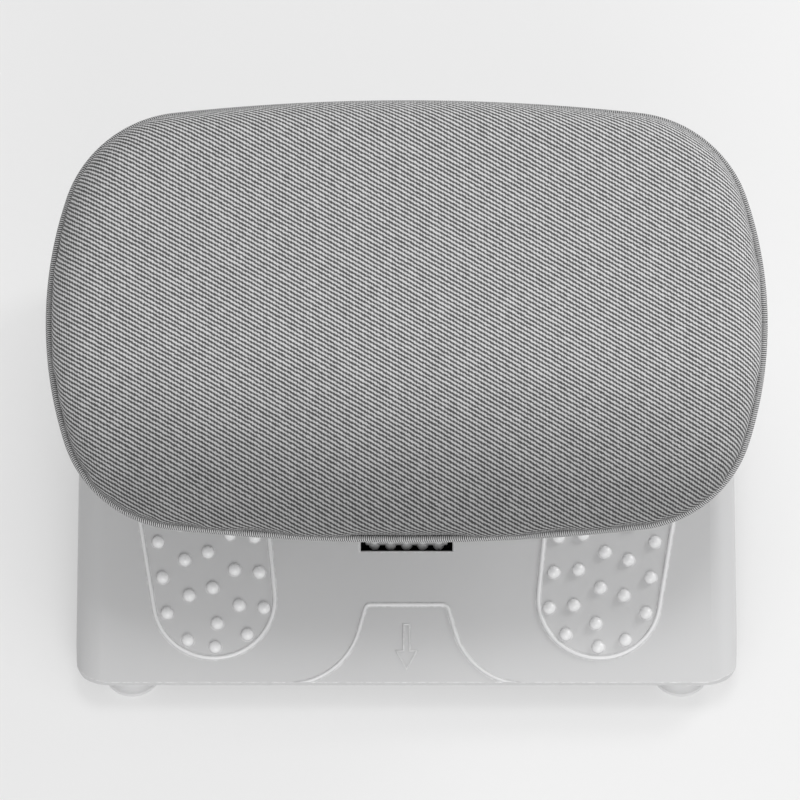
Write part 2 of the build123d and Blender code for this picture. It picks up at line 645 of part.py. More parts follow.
def clamp_knob():
    """Lobed hand knob behind the sleeve."""
    grip = Circle(KNOB_RADIUS)
    scallops = PolarLocations(KNOB_SCALLOP_CENTRE, KNOB_LOBES) * Circle(KNOB_SCALLOP)
    head = extrude(grip - scallops, KNOB_THICKNESS)
    rims = head.faces().filter_by(Axis.Z).edges()
    head = Pos(0, 0, KNOB_HUB) * fillet(rims, KNOB_ROUND)
    stud_hole = rod(STUD_RADIUS + RUN_FIT, STUD_GRIP + RUN_FIT)
    return clamp_axis(knob_start()) * (head + rod(KNOB_HUB_RADIUS, KNOB_HUB) - stud_hole)


def lug(face, thickness, foot):
    """Upright lug round the hinge pin, from its round head down to a foot."""
    outline = Circle(LUG_RADIUS) + Pos(0, -foot / 2) * Rectangle(2 * LUG_RADIUS, foot)
    return Pos(face, 0, 0) * extrude(Plane.YZ * outline, thickness)


def tilt_yoke():
    """Fork on top of the post that holds the hinge pin."""
    plate = rounded_bar(SLEEVE_BORE_WIDTH, SLEEVE_BORE_DEPTH, POST_CORNER + GUIDE_WALL, POST_TOP, YOKE_FLOOR)
    plug = rounded_bar(POST_WIDTH - 2 * POST_WALL - 2 * FIT, POST_DEPTH - 2 * POST_WALL - 2 * FIT,
                       POST_CORNER - POST_WALL - FIT, POST_TOP - YOKE_PLUG, POST_TOP)
    ear = Pos(0, COLUMN_Y, PIN_Z) * lug(YOKE_GAP / 2, YOKE_LUG, PIN_Z - YOKE_FLOOR)
    bore = Pos(0, COLUMN_Y, PIN_Z) * cross_rod(PIN_RADIUS + RUN_FIT, -BLANK, BLANK)
    return (plate + [plug] + mirrored_pair(ear)) - [bore, set_screw_bores(RUN_FIT)]


def on_pin(shape):
    """Place a shape made about the X axis on the hinge pin's axis."""
    return Pos(0, COLUMN_Y, PIN_Z) * shape


def tilt_pin():
    """Headed hinge pin through the yoke and the bracket."""
    outer = YOKE_GAP / 2 + YOKE_LUG
    head = cross_rod(PIN_HEAD_RADIUS, -outer - PIN_HEAD, -outer)
    head = fillet(head.edges().sort_by(Axis.X)[0], PIN_HEAD_ROUND)
    return on_pin(head + cross_rod(PIN_RADIUS, -outer, outer + PIN_NUT + PIN_TAIL))


def pin_nut():
    """Lock nut that sets the friction of the hinge."""
    outer = YOKE_GAP / 2 + YOKE_LUG
    nut = Pos(outer, 0, 0) * extrude(Plane.YZ * RegularPolygon(PIN_NUT_RADIUS, 6), PIN_NUT)
    return on_pin(nut - cross_rod(PIN_RADIUS + RUN_FIT, 0, BLANK))


def friction_washers():
    """Washers between the lugs of yoke and bracket."""
    start = BRACKET_FACE + PLAY
    ring = cross_rod(WASHER_RADIUS, start, start + WASHER) - cross_rod(PIN_RADIUS + RUN_FIT, 0, BLANK)
    return group(on_pin(piece) for piece in mirrored_pair(ring))


def pin_spacer():
    """Spacer tube between the lugs of the bracket."""
    half = BRACKET_FACE - BRACKET_LUG - PLAY
    return on_pin(cross_rod(SPACER_RADIUS, -half, half) - cross_rod(PIN_RADIUS + RUN_FIT, -BLANK, BLANK))


def bracket_screw_places():
    """Places of the bracket's screws in the pad's plane."""
    x = BRACKET_WIDTH / 2 - BRACKET_SCREW_INSET
    y = BRACKET_DEPTH / 2 - BRACKET_SCREW_INSET
    return [(sx * x, sy * y) for sx in (-1, 1) for sy in (-1, 1)]


def pan_screw_places():
    """Places of the pan's screws in the pad's plane."""
    return [(x, sy * PAN_SCREW_Y) for x in PAN_SCREW_X for sy in (-1, 1)]


def tilt_bracket():
    """Bracket under the pad with two lugs on the hinge pin."""
    plate = Pos(0, 0, BRACKET_BOTTOM) * extrude(
        RectangleRounded(BRACKET_WIDTH, BRACKET_DEPTH, BRACKET_CORNER), BRACKET_PLATE)
    ear = Rot(180, 0, 0) * lug(BRACKET_FACE - BRACKET_LUG, BRACKET_LUG, BRACKET_BOTTOM)
    bore = cross_rod(PIN_RADIUS + RUN_FIT, -BLANK, BLANK)
    holes = [Pos(x, y, 0) * rod(CASE_SCREW[2] + FIT, BLANK) for x, y in bracket_screw_places()]
    return PAD * ((plate + mirrored_pair(ear)) - ([bore] + holes))


def pad_outline(inset):
    """Bowed pad outline moved inwards by inset: eight tangent arcs."""
    half_width = PAD_WIDTH / 2
    half_depth = PAD_DEPTH / 2
    front_centre = Vector(0, FRONT_BOW - half_depth)
    side_centre = Vector(half_width - SIDE_BOW, 0)
    front_reach = FRONT_BOW - PAD_CORNER
    side_reach = SIDE_BOW - PAD_CORNER
    between = side_centre - front_centre
    span = between.length
    along = (front_reach ** 2 - side_reach ** 2 + span ** 2) / (2 * span)
    across = sqrt(front_reach ** 2 - along ** 2)
    unit = between / span
    corner = front_centre + unit * along + Vector(-unit.Y, unit.X) * across
    to_front = (corner - front_centre) / front_reach
    to_side = (corner - side_centre) / side_reach
    front_end = front_centre + to_front * (FRONT_BOW - inset)
    side_end = side_centre + to_side * (SIDE_BOW - inset)
    corner_middle = corner + (to_front + to_side).normalized() * (PAD_CORNER - inset)

    def flipped(point, sx, sy):
        return (point.X * sx, point.Y * sy)

    arcs = []
    for sx, sy in ((1, 1), (1, -1), (-1, -1), (-1, 1)):
        arcs.append(ThreePointArc(flipped(front_end, sx, sy), flipped(corner_middle, sx, sy),
                                  flipped(side_end, sx, sy)))
    for side in (1, -1):
        arcs.append(ThreePointArc(flipped(side_end, side, 1), (side * (half_width - inset), 0),
                                  flipped(side_end, side, -1)))
        arcs.append(ThreePointArc(flipped(front_end, -1, side), (0, side * (inset - half_depth)),
                                  flipped(front_end, 1, side)))
    return Wire(arcs)


def pad_face(inset, height):
    """Flat face of the pad outline at a height above the hinge pin."""
    return Pos(0, 0, height) * make_face(pad_outline(inset))


def pad_slab(inset, bottom, top):
    """Slab with the pad outline between two heights."""
    return extrude(pad_face(inset, bottom), top - bottom)


def cushion_pan():
    """Moulded pan under the pad with a rounded lower edge."""
    tray = pad_slab(PAN_INSET, PAN_BOTTOM, PAN_TOP)
    low_edges = tray.faces().sort_by(Axis.Z)[0].edges()
    tray = fillet(low_edges, PAN_ROUND)
    holes = [Pos(x, y, 0) * rod(CASE_SCREW[2] + FIT, BLANK)
             for x, y in bracket_screw_places() + pan_screw_places()]
    return PAD * (tray - [pad_slab(TAPE_INSET, PAN_FLOOR, BOARD_TOP)] - holes)


def cushion_board():
    """Plywood board that carries the foam."""
    board = pad_slab(TAPE_INSET + FIT, PAN_FLOOR, BOARD_TOP)
    holes = []
    for x, y in bracket_screw_places():
        top = BRACKET_BOTTOM + BRACKET_SCREW_LENGTH + FIT
        holes.append(Pos(x, y, 0) * rod(CASE_SCREW[2] + RUN_FIT, top))
    for x, y in pan_screw_places():
        holes.append(Pos(x, y, 0) * rod(CASE_SCREW[2] + RUN_FIT, PAN_BOTTOM + PAN_SCREW_LENGTH + FIT))
    return PAD * (board - holes)


def pan_screws():
    """Screws through the pan into the board."""
    return group(PAD * Pos(x, y, PAN_BOTTOM) * screw(CASE_SCREW, PAN_SCREW_LENGTH)
                 for x, y in pan_screw_places())


def bracket_screws():
    """Screws through the bracket and the pan into the board."""
    return group(PAD * Pos(x, y, BRACKET_BOTTOM) * screw(CASE_SCREW, BRACKET_SCREW_LENGTH)
                 for x, y in bracket_screw_places())


def edge_piping():
    """Piping cord round the pad with the tape that is held between pan and cushion."""
    cord = bead_along(Pos(0, 0, PIPING_RISE) * pad_outline(PIPING_RADIUS), PIPING_RADIUS)
    tape = pad_slab(PIPING_RADIUS, PAN_TOP, BOARD_TOP) - pad_slab(TAPE_INSET, PAN_TOP, BOARD_TOP)
    return PAD * (cord + tape)


def crown_block(skin):
    """Block under the cushion's top: crowned from side to side, level behind and falling away in front."""
    half_width = PAD_WIDTH / 2 - CUSHION_INSET
    crown_radius = (half_width ** 2 + CUSHION_CROWN ** 2) / (2 * CUSHION_CROWN)
    summit = BOARD_TOP + CUSHION_EDGE_HEIGHT + CUSHION_CROWN
    fall_length = PAD_DEPTH / 2 - FALL_START
    fall_radius = (fall_length ** 2 + FRONT_FALL ** 2) / (2 * FRONT_FALL)
    fall_angle = asin((fall_length + CUSHION_ROUND) / fall_radius)
    reach = fall_radius - skin

    def on_fall(angle):
        return (-FALL_START - reach * sin(angle), summit - fall_radius + reach * cos(angle))

    start, middle, end = on_fall(0), on_fall(fall_angle / 2), on_fall(fall_angle)
    rear = (PAD_DEPTH, summit - skin)
    floor = summit - BLANK
    outline = [Line(rear, start), ThreePointArc(start, middle, end)]
    outline.append(Polyline(end, (end[0], floor), (PAD_DEPTH, floor), rear))
    half_turn = degrees(asin((PAD_WIDTH / 2 + CUSHION_ROUND) / crown_radius))
    axis = Axis((0, 0, summit - crown_radius), (0, 1, 0))
    block = revolve(Plane.YZ * make_face(outline), axis, 2 * half_turn)
    return block.rotate(axis, -half_turn)


def cushion_form(skin):
    """Crowned cushion with a rounded top edge and sides drawn in at the seam."""
    waist = BOARD_TOP + CUSHION_FLARE
    foot = loft([pad_face(CUSHION_FOOT_INSET + skin, BOARD_TOP), pad_face(CUSHION_INSET + skin, waist)],
                ruled=True)
    body = pad_slab(CUSHION_INSET + skin, waist, BOARD_TOP + 2 * CUSHION_EDGE_HEIGHT) & crown_block(skin)
    upright = [face for face in body.faces() if abs(face.normal_at().Z) < 0.5]
    crown_edges = [e for face in body.faces() if face.normal_at().Z > 0.5 for e in face.edges()]
    rim = [e for face in upright for e in face.edges() if any(e.is_same(other) for other in crown_edges)]
    return fillet(rim, CUSHION_ROUND - skin) + foot


def cushion_cover():
    """Fabric cover drawn over the foam."""
    return PAD * (cushion_form(0) - cushion_form(COVER_THICKNESS))


def cushion_foam():
    """Foam block inside the cover."""
    return PAD * cushion_form(COVER_THICKNESS)


def case_screws():
    """Screws up through the bottom plate into the shell."""
    return group(Pos(x, y, FOOT_HEIGHT) * screw(CASE_SCREW, CASE_SCREW_LENGTH)
                 for x, y in case_screw_places())


def foot_screws():
    """Screws up through the feet into the shell."""
    return group(Pos(x, y, FOOT_BORE_DEPTH) * screw(CASE_SCREW, FOOT_SCREW_LENGTH)
                 for x, y in foot_places().values())


def column_screws():
    """Screws up through the bottom plate into the flange of the sleeve."""
    return group(Pos(x, y, FOOT_HEIGHT) * screw(COLUMN_SCREW, COLUMN_SCREW_LENGTH)
                 for x, y in column_screw_places())


def footrest():
    """All the pieces by name."""
    nodes = {
        "base_shell": base_shell(),
        "bottom_plate": bottom_plate(),
        "case_screws": case_screws(),
        "foot_screws": foot_screws(),
        "roller_cradle": roller_cradle(),
        "cradle_screws": cradle_screws(),
        "roller_axle": roller_axle(),
        "massage_roller": massage_roller(),
        "roller_bushes": roller_bushes(),
        "column_sleeve": column_sleeve(),
        "column_screws": column_screws(),
        "column_collar": column_collar(),
        "upper_guide": upper_guide(),
        "clamp_nut": clamp_nut(),
        "clamp_pad": clamp_pad(),
        "clamp_stud": clamp_stud(),
        "clamp_knob": clamp_knob(),
        "lift_post": lift_post(),
        "lower_guide": lower_guide(),
        "tilt_yoke": tilt_yoke(),
        "yoke_set_screws": set_screw_bores(0),
        "tilt_pin": tilt_pin(),
        "pin_nut": pin_nut(),
        "friction_washers": friction_washers(),
        "pin_spacer": pin_spacer(),
        "tilt_bracket": tilt_bracket(),
        "bracket_screws": bracket_screws(),
        "cushion_pan": cushion_pan(),
        "pan_screws": pan_screws(),
        "cushion_board": cushion_board(),
        "edge_piping": edge_piping(),
        "cushion_foam": cushion_foam(),
        "cushion_cover": cushion_cover(),
    }
    for name, (x, y) in foot_places().items():
        nodes[name] = Pos(x, y, 0) * rubber_foot()
    return nodes


os.makedirs("parts", exist_ok=True)
for node, shape in footrest().items():
    export_step(shape, f"parts/{node}.step")
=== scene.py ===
# %% [markdown]
# # An ergonomic footrest
# The real object is a pale plastic wedge with two moulded massage soles and a small turning
# roller. A telescopic pedestal carries an upholstered pad that tilts on a friction hinge.
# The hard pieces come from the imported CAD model, so this lesson only loads them, gives each
# one a finish, and models what CAD can't: the stuffed cover, its piping and the raised arrow.

# %% Load the fixed frame
import json
import math

import bmesh
import bpy
import numpy as np
from mathutils import Matrix, Vector
from mathutils.geometry import intersect_sphere_sphere_2d


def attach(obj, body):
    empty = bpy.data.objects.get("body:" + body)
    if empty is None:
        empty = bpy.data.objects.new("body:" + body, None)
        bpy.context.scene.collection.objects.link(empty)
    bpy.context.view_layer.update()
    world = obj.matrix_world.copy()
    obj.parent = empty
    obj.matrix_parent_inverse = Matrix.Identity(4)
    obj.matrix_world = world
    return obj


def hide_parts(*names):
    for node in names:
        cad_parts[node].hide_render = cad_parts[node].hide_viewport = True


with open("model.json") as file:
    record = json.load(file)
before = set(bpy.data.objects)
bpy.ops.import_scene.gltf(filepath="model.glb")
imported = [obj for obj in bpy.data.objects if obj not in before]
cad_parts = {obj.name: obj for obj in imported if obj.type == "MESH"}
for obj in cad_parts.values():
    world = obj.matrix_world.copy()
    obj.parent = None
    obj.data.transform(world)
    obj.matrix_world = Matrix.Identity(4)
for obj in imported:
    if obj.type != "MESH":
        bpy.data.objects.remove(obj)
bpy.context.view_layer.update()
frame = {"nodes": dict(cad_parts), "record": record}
nodes = frame["nodes"]
MM = 0.001

# %% [markdown]
# ## Camera
# The photograph looks down on the footrest from the front, at about 60 degrees above the
# floor, with so little perspective that a long lens far away fits it. A normal lens close by
# would make the pad loom over the base. The aim point lies inside the object, a little left
# of its middle, because that is how the photograph is framed.

# %% Camera
scene = bpy.context.scene
scene.view_settings.view_transform = "Standard"
VIEW_ELEVATION = math.radians(61)
CAMERA_DISTANCE = 4.0
FIELD_WIDTH = 0.4820
SENSOR_WIDTH = 36.0
AIM = Vector((-0.0040, 0.0, 0.1025))

camera_data = bpy.data.cameras.new("front_camera")
camera_data.sensor_width = SENSOR_WIDTH
camera_data.lens = SENSOR_WIDTH * CAMERA_DISTANCE / FIELD_WIDTH
camera = bpy.data.objects.new("front_camera", camera_data)
camera.location = AIM + CAMERA_DISTANCE * Vector((0, -math.cos(VIEW_ELEVATION), math.sin(VIEW_ELEVATION)))
camera.rotation_euler = (math.pi / 2 - VIEW_ELEVATION, 0, 0)
scene.collection.objects.link(camera)
scene.camera = camera
print("camera lens", round(camera_data.lens, 1), "mm")

# %% [markdown]
# ## Light
# A product studio lights such an object with a soft box above and a little behind it, a low
# lamp behind on the right that rakes over the ribs and nubs, and a broad fill low in front.
# One sun would give hard shadows, and a plain white dome none at all. Area lamps that are
# wide for their distance give the soft ones of the photograph.

# %% Lamps
def soft_box(name, place, aim, size, watts):
    data = bpy.data.lights.new(name, "AREA")
    data.shape = "RECTANGLE"
    data.size, data.size_y = size
    data.energy = watts
    lamp = bpy.data.objects.new(name, data)
    lamp.location = place
    lamp.rotation_euler = (Vector(aim) - Vector(place)).to_track_quat("-Z", "Y").to_euler()
    scene.collection.objects.link(lamp)


PAD_MIDDLE = (0, 0.02, 0.15)
BASE_MIDDLE = (0, -0.05, 0.05)
soft_box("top_lamp", place=(0.2, 0.4, 1.9), aim=PAD_MIDDLE, size=(0.9, 0.7), watts=8.5)
soft_box("raking_lamp", place=(1.4, 0.9, 0.9), aim=BASE_MIDDLE, size=(0.6, 0.4), watts=11)
soft_box("front_lamp", place=(0.3, -1.7, 1.1), aim=PAD_MIDDLE, size=(1.2, 0.8), watts=13.5)

# %% [markdown]
# ## Wiring nodes
# Every finish below is a small graph of nodes, and wiring each by hand would hide what it does.
# A few helpers link an output or set a plain value, and return the socket to go on from.

# %% Node helpers
def new_group(name, inputs, outputs):
    """An empty node group, with the sockets to build between."""
    tree = bpy.data.node_groups.new(name, "ShaderNodeTree")
    for label, kind, value in inputs:
        socket = tree.interface.new_socket(label, in_out="INPUT", socket_type=kind)
        if value is not None:
            socket.default_value = value
    for label, kind in outputs:
        tree.interface.new_socket(label, in_out="OUTPUT", socket_type=kind)
    return tree, tree.nodes.new("NodeGroupInput").outputs, tree.nodes.new("NodeGroupOutput").inputs


def wire(tree, value, socket):
    """Link an output to a socket, or set a plain value on it."""
    if isinstance(value, bpy.types.NodeSocket):
        tree.links.new(value, socket)
    else:
        socket.default_value = value


def maths(tree, operation, *values):
    node = tree.nodes.new("ShaderNodeMath")
    node.operation = operation
    for value, socket in zip(values, node.inputs):
        wire(tree, value, socket)
    return node.outputs[0]


def noise(tree, vector, scale, detail=2.0, roughness=0.5):
    node = tree.nodes.new("ShaderNodeTexNoise")
    wire(tree, vector, node.inputs["Vector"])
    wire(tree, scale, node.inputs["Scale"])
    node.inputs["Detail"].default_value = detail
    node.inputs["Roughness"].default_value = roughness
    return node.outputs


def between(tree, value, low, high, new_low=0.0, new_high=1.0, smooth=True):
    """Stretch the span from low to high over a new one."""
    node = tree.nodes.new("ShaderNodeMapRange")
    node.interpolation_type = "SMOOTHSTEP" if smooth else "LINEAR"
    for socket, v in zip(node.inputs, (value, low, high, new_low, new_high)):
        wire(tree, v, socket)
    return node.outputs[0]


print("helpers ready")

# %% [markdown]
# ## The room
# The world lights the object a little from everywhere. What the camera, a mirror or glass
# sees of it is a second, paler background, which Light Path picks out, so the backdrop can
# be near white without throwing more light on the object.

# %% World
ROOM_FILL = 0.5
BACKDROP = (0.91, 0.91, 0.91, 1)


def seen_directly(tree):
    """1 for what the camera, a mirror or glass sees, and 0 for light on its way elsewhere."""
    path = tree.nodes.new("ShaderNodeLightPath").outputs
    straight = maths(tree, "MAXIMUM", path["Is Camera Ray"], path["Is Transmission Ray"])
    return maths(tree, "MAXIMUM", straight, path["Is Glossy Ray"])


def mix_shaders(tree, share, first, second, output):
    node = tree.nodes.new("ShaderNodeMixShader")
    for source, socket in zip((share, first, second), node.inputs):
        wire(tree, source, socket)
    wire(tree, node.outputs[0], output)


world = bpy.data.worlds.new("pale_room")
scene.world = world
world.use_nodes = True
room = world.node_tree
room.nodes.clear()
fill = room.nodes.new("ShaderNodeBackground")
fill.inputs["Color"].default_value = (1, 1, 1, 1)
fill.inputs["Strength"].default_value = ROOM_FILL
seen = room.nodes.new("ShaderNodeBackground")
seen.inputs["Color"].default_value = BACKDROP
room_out = room.nodes.new("ShaderNodeOutputWorld")
mix_shaders(room, seen_directly(room), fill.outputs[0], seen.outputs[0], room_out.inputs[0])
print("room fill", ROOM_FILL, "and backdrop", BACKDROP[0])

# %% [markdown]
# ## The floor
# The photograph's floor is nearly white, with a soft shadow round the base. Under this plain
# light a white sheet renders grey, and stronger lamps would bleach the object. So the floor
# glows a little for whatever sees it directly, and still takes the object's shadow.

# %% Floor
FLOOR_COLOUR = (0.84, 0.84, 0.84, 1)
FLOOR_GLOW = 0.5


def finish_mesh(name, bm):
    """Turn a bmesh into an object at the origin with smooth faces."""
    mesh = bpy.data.meshes.new(name)
    bm.to_mesh(mesh)
    bm.free()
    mesh.polygons.foreach_set("use_smooth", [True] * len(mesh.polygons))
    piece = bpy.data.objects.new(name, mesh)
    scene.collection.objects.link(piece)
    return piece


floor_bm = bmesh.new()
bmesh.ops.create_circle(floor_bm, cap_ends=True, radius=12.0, segments=64)
floor = finish_mesh("floor", floor_bm)
floor_paint = bpy.data.materials.new("floor_paint")
floor_paint.use_nodes = True
floor_shader = floor_paint.node_tree.nodes["Principled BSDF"]
floor_shader.inputs["Base Color"].default_value = FLOOR_COLOUR
floor_shader.inputs["Roughness"].default_value = 0.9
floor_shader.inputs["Specular IOR Level"].default_value = 0.1
floor_tree = floor_paint.node_tree
floor_glow = floor_tree.nodes.new("ShaderNodeEmission")
floor_glow.inputs["Color"].default_value = BACKDROP
floor_share = maths(floor_tree, "MULTIPLY", seen_directly(floor_tree), FLOOR_GLOW)
mix_shaders(floor_tree, floor_share, floor_shader.outputs[0], floor_glow.outputs[0],
            floor_tree.nodes["Material Output"].inputs["Surface"])
floor.data.materials.append(floor_paint)
print("floor ready")

# %% [markdown]
# ## Shared effects
# Several finishes need the same three effects: the fine spark texture of a mould, paler
# edges, and brushing. The paler edges are wear, and on the wedge partly a painted highlight.
# Each is a node group that reads Object coordinates, so it is built once and set by values.

# %% Mould grain, edge wear with painted highlight, and brushing
grain_group, g_in, g_out = new_group(
    "mould_grain",
    [("Vector", "NodeSocketVector", None), ("Grains per metre", "NodeSocketFloat", 1600.0)],
    [("Height", "NodeSocketFloat"), ("Patches", "NodeSocketFloat")])
wire(grain_group, noise(grain_group, g_in[0], g_in[1], detail=3.0, roughness=0.6)["Fac"], g_out[0])
wire(grain_group, noise(grain_group, g_in[0], scale=18.0, detail=3.0, roughness=0.55)["Fac"], g_out[1])

wear_and_highlight_group, r_in, r_out = new_group(
    "edge_wear_and_highlight",
    [("Vector", "NodeSocketVector", None), ("Reach", "NodeSocketFloat", 0.0012)],
    [("Mask", "NodeSocketFloat")])
bevel = wear_and_highlight_group.nodes.new("ShaderNodeBevel")
bevel.samples = 4
wire(wear_and_highlight_group, r_in[1], bevel.inputs["Radius"])
facing = wear_and_highlight_group.nodes.new("ShaderNodeNewGeometry")
turned = wear_and_highlight_group.nodes.new("ShaderNodeVectorMath")
turned.operation = "DOT_PRODUCT"
wear_and_highlight_group.links.new(bevel.outputs[0], turned.inputs[0])
wear_and_highlight_group.links.new(facing.outputs["Normal"], turned.inputs[1])
edge = between(wear_and_highlight_group, turned.outputs["Value"], low=0.995, high=0.90)
flecks = noise(wear_and_highlight_group, r_in[0], scale=220.0, detail=4.0, roughness=0.65)["Fac"]
uneven = between(wear_and_highlight_group, flecks, low=0.35, high=0.65)
wire(wear_and_highlight_group, maths(wear_and_highlight_group, "MULTIPLY", edge, uneven), r_out[0])

brush_group, b_in, b_out = new_group(
    "brushing",
    [("Vector", "NodeSocketVector", None)],
    [("Lines", "NodeSocketFloat")])
stretch = brush_group.nodes.new("ShaderNodeMapping")
stretch.inputs["Scale"].default_value = (2600.0, 2600.0, 40.0)
wire(brush_group, b_in[0], stretch.inputs["Vector"])
lines = noise(brush_group, stretch.outputs[0], scale=1.0, detail=2.0, roughness=0.6)["Fac"]
wire(brush_group, lines, b_out[0])
print("groups", [g.name for g in bpy.data.node_groups])

# %% [markdown]
# ## Hard finishes
# The wedge is a pale grey moulding with a fine grain and a soft sheen; the cradle is black;
# the pedestal is powder coated and its post anodised. All share one recipe: a base colour
# that drifts a little in patches and turns paler on edges, as wear and, on the wedge, partly
# as a painted highlight, with the grain in the roughness and the bump. Only the values change
# from one finish to the next.

# %% Recipe for the hard finishes
def place_group(tree, group, vector, *values):
    node = tree.nodes.new("ShaderNodeGroup")
    node.node_tree = group
    for value, socket in zip((vector, *values), node.inputs):
        wire(tree, value, socket)
    return node.outputs


def blend_colour(tree, share, first, second):
    """Mix two colours. Inputs 6 and 7 and output 2 are the colour sockets of a Mix node."""
    node = tree.nodes.new("ShaderNodeMix")
    node.data_type = "RGBA"
    wire(tree, share, node.inputs[0])
    wire(tree, first, node.inputs[6])
    wire(tree, second, node.inputs[7])
    return node.outputs[2]


def shade(colour, factor):
    return tuple(min(1.0, c * factor) for c in colour) + (1.0,)


def hard_finish(name, colour, roughness, grains=1600.0, bump=0.12, drift=0.05, wear_and_highlight=1.25, metal=0.0,
                brushed=False, specular=0.35):
    material = bpy.data.materials.new(name)
    material.use_nodes = True
    tree = material.node_tree
    shader = tree.nodes["Principled BSDF"]
    shader.inputs["Metallic"].default_value = metal
    shader.inputs["Specular IOR Level"].default_value = specular
    where = tree.nodes.new("ShaderNodeTexCoord").outputs["Object"]
    height, patches = place_group(tree, grain_group, where, grains)
    wear_and_highlight_mask = place_group(tree, wear_and_highlight_group, where)[0]
    if brushed:
        height = place_group(tree, brush_group, where)[0]
    drifted = blend_colour(tree, patches, shade(colour, 1 - drift), shade(colour, 1 + drift))
    tree.links.new(blend_colour(tree, wear_and_highlight_mask, drifted, shade(colour, wear_and_highlight)), shader.inputs["Base Color"])
    rough = between(tree, height, 0.3, 0.7, roughness - 0.06, roughness + 0.06, smooth=False)
    tree.links.new(rough, shader.inputs["Roughness"])
    relief = tree.nodes.new("ShaderNodeBump")
    relief.inputs["Strength"].default_value = bump
    relief.inputs["Distance"].default_value = 0.0003
    tree.links.new(height, relief.inputs["Height"])
    tree.links.new(relief.outputs[0], shader.inputs["Normal"])
    return material


print("recipe ready")

# %% Hard finishes
def grey(value):
    """A grey with a trace of blue, as moulded plastic has."""
    return (value, value, value * 1.005)


SHELL_GREY = grey(0.60)
finishes = {
    # The wedge's paler edges are partly wear and partly a painted highlight on its lit edges and rims.
    "shell_plastic": hard_finish("shell_plastic", SHELL_GREY, 0.38, bump=0.08, drift=0.015, wear_and_highlight=1.5,
                                 specular=0.5),
    "plate_plastic": hard_finish("plate_plastic", grey(0.30), 0.6, drift=0.06),
    "foot_rubber": hard_finish("foot_rubber", grey(0.76), 0.75, grains=900.0, bump=0.2, specular=0.2),
    "cradle_plastic": hard_finish("cradle_plastic", grey(0.012), 0.6, wear_and_highlight=2.0),
    "roller_plastic": hard_finish("roller_plastic", grey(0.72), 0.4, drift=0.03, wear_and_highlight=1.15),
    "guide_plastic": hard_finish("guide_plastic", grey(0.06), 0.42, wear_and_highlight=1.8),
    "knob_plastic": hard_finish("knob_plastic", grey(0.10), 0.5, grains=1100.0, bump=0.3, wear_and_highlight=1.7),
    "sleeve_paint": hard_finish("sleeve_paint", grey(0.46), 0.4, grains=420.0, bump=0.25, wear_and_highlight=1.15),
    "bracket_paint": hard_finish("bracket_paint", grey(0.09), 0.42, grains=420.0, bump=0.3, wear_and_highlight=2.2),
    "post_metal": hard_finish("post_metal", grey(0.72), 0.34, bump=0.08, metal=1.0, brushed=True, wear_and_highlight=1.1),
    "steel": hard_finish("steel", grey(0.55), 0.3, grains=2400.0, metal=1.0, drift=0.1),
    "insert_brass": hard_finish("insert_brass", (0.68, 0.52, 0.24), 0.32, metal=1.0, drift=0.08),
}
print("hard finishes", len(finishes))

# %% [markdown]
# ## Plywood
# The board inside the pad is plywood. It only shows when the pad is taken apart, but a part
# that is reused may be. Rings are a stretched noise; the veneer's grain runs across the pad.

# %% Plywood
plywood = bpy.data.materials.new("board_wood")
plywood.use_nodes = True
ply = plywood.node_tree
ply_grain = ply.nodes.new("ShaderNodeMapping")
ply_grain.inputs["Scale"].default_value = (6.0, 160.0, 160.0)
ply.links.new(ply.nodes.new("ShaderNodeTexCoord").outputs["Object"], ply_grain.inputs["Vector"])
fibres = noise(ply, ply_grain.outputs[0], scale=1.0, detail=5.0, roughness=0.6)["Fac"]
ply_shader = ply.nodes["Principled BSDF"]
ply.links.new(blend_colour(ply, fibres, (0.42, 0.28, 0.15, 1), (0.66, 0.50, 0.31, 1)),
              ply_shader.inputs["Base Color"])
veneer_rough = between(ply, fibres, low=0.2, high=0.8, new_low=0.5, new_high=0.75)
ply.links.new(veneer_rough, ply_shader.inputs["Roughness"])
finishes["board_wood"] = plywood
print("plywood ready")

# %% [markdown]
# ## Dressing the CAD nodes
# The record names a material slot for every node, so one loop gives each node its finish. The
# soft nodes get none here, because the pieces made further down take their place.

# %% Finish of each node
for row in frame["record"]["subparts"]:
    if row["material_slot"] in finishes:
        nodes[row["node"]].data.materials.clear()
        nodes[row["node"]].data.materials.append(finishes[row["material_slot"]])

# %% [markdown]
# ## The top with a painted highlight
# What stands proud of the wedge, its nubs and ribs, is painted paler than the plastic round it
# as a painted highlight, and is given a lower roughness. The height above the sloping top, taken
# from Object coordinates, picks them all out, which painting one nub after another wouldn't.

# %% Painted highlight and lower roughness on the nubs and ribs
TOP_SLOPE = math.radians(12)
FRONT_EDGE = Vector((0, -0.150, 0.022))
TOP_NORMAL = Vector((0, -math.sin(TOP_SLOPE), math.cos(TOP_SLOPE)))
TOP_LEVEL = TOP_NORMAL.dot(FRONT_EDGE)
PROUD = (0.3 * MM, 1.6 * MM)
POLISH, HIGHLIGHT_PALER = 0.12, 1.4

highlighted_wedge = finishes["shell_plastic"].copy()
highlighted_wedge.name = "highlighted_top"
top_tree = highlighted_wedge.node_tree
top_shader = top_tree.nodes["Principled BSDF"]
height_node = top_tree.nodes.new("ShaderNodeVectorMath")
height_node.operation = "DOT_PRODUCT"
wire(top_tree, top_tree.nodes["Texture Coordinate"].outputs["Object"], height_node.inputs[0])
wire(top_tree, TOP_NORMAL, height_node.inputs[1])
proud = between(top_tree, height_node.outputs["Value"], TOP_LEVEL + PROUD[0], TOP_LEVEL + PROUD[1])
plain_colour = top_shader.inputs["Base Color"].links[0].from_socket
plain_rough = top_shader.inputs["Roughness"].links[0].from_socket
